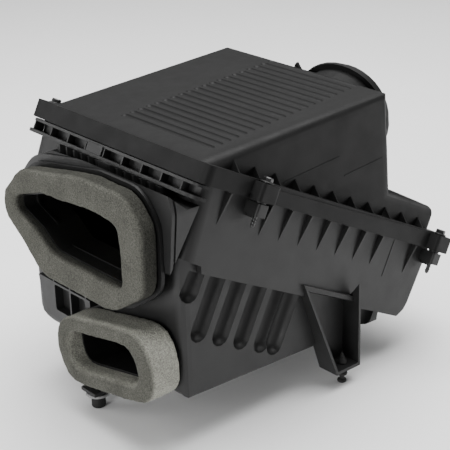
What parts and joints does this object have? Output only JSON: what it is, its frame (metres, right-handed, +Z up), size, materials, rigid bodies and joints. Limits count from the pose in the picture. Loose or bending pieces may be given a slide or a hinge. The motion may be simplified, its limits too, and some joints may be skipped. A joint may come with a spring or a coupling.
{
  "type": "air filter housing",
  "caption": "Wedge-shaped engine air filter housing with two foam-sealed inlets, a lift-off grooved cover, a round hose outlet and a panel filter inside.",
  "frame": {"origin": "under the middle of the whole housing, on the plane of the three rubber mounts' noses", "axes": "+Z up; +X along the housing from the inlets to the outlet; +Y across it, away from the side with the captive screw nearest the inlets"},
  "size_m": [0.4298, 0.327, 0.3355],
  "materials": {
    "case_black": "fine-grained moulded black, slight sheen",
    "duct_black": "moulded black",
    "foam_grey": "open-cell foam, cut faces",
    "seal_black": "soft moulded urethane",
    "media_paper": "pleated filter paper",
    "screw_steel": "black phosphate",
    "nylon_retainer": "black nylon",
    "mount_rubber": "matt",
    "washer_steel": "zinc"
  },
  "bodies": {
    "case": {"lower_case": "case_black", "main_inlet_duct": "duct_black", "lower_inlet_duct": "duct_black", "main_foam_seal": "foam_grey", "lower_foam_seal": "foam_grey", "rubber_mount_front": "mount_rubber", "rubber_mount_rear": "mount_rubber", "rubber_mount_end": "mount_rubber", "mount_washer": "washer_steel"},
    "cover": {"upper_cover": "case_black", "screw_retainer_1": "nylon_retainer", "screw_retainer_2": "nylon_retainer", "screw_retainer_3": "nylon_retainer", "screw_retainer_4": "nylon_retainer"},
    "filter": {"filter_seal_frame": "seal_black", "filter_media": "media_paper"},
    "screw_1": {"cover_screw_1": "screw_steel"},
    "screw_2": {"cover_screw_2": "screw_steel"},
    "screw_3": {"cover_screw_3": "screw_steel"},
    "screw_4": {"cover_screw_4": "screw_steel"}
  },
  "joints": [
    {"name": "cover_lift", "type": "slide", "parent": "case", "child": "cover", "axis": [0.4617, 0, 0.887], "range_m": [0, 0.12]},
    {"name": "filter_lift", "type": "slide", "parent": "case", "child": "filter", "axis": [0.4617, 0, 0.887], "range_m": [0, 0.06]},
    {"name": "screw_1_turn", "type": "hinge", "parent": "cover", "child": "screw_1", "pos_m": [-0.06936, -0.153, 0.27976], "axis": [0.4617, 0, 0.887], "continuous": true},
    {"name": "screw_2_turn", "type": "hinge", "parent": "cover", "child": "screw_2", "pos_m": [0.20029, -0.153, 0.13939], "axis": [0.4617, 0, 0.887], "continuous": true},
    {"name": "screw_3_turn", "type": "hinge", "parent": "cover", "child": "screw_3", "pos_m": [0.20029, 0.153, 0.13939], "axis": [0.4617, 0, 0.887], "continuous": true},
    {"name": "screw_4_turn", "type": "hinge", "parent": "cover", "child": "screw_4", "pos_m": [-0.11371, 0.153, 0.30285], "axis": [0.4617, 0, 0.887], "continuous": true}
  ],
  "couplings": [
    {"joint": "filter_lift", "follows": "cover_lift", "ratio": 0.5}
  ]
}
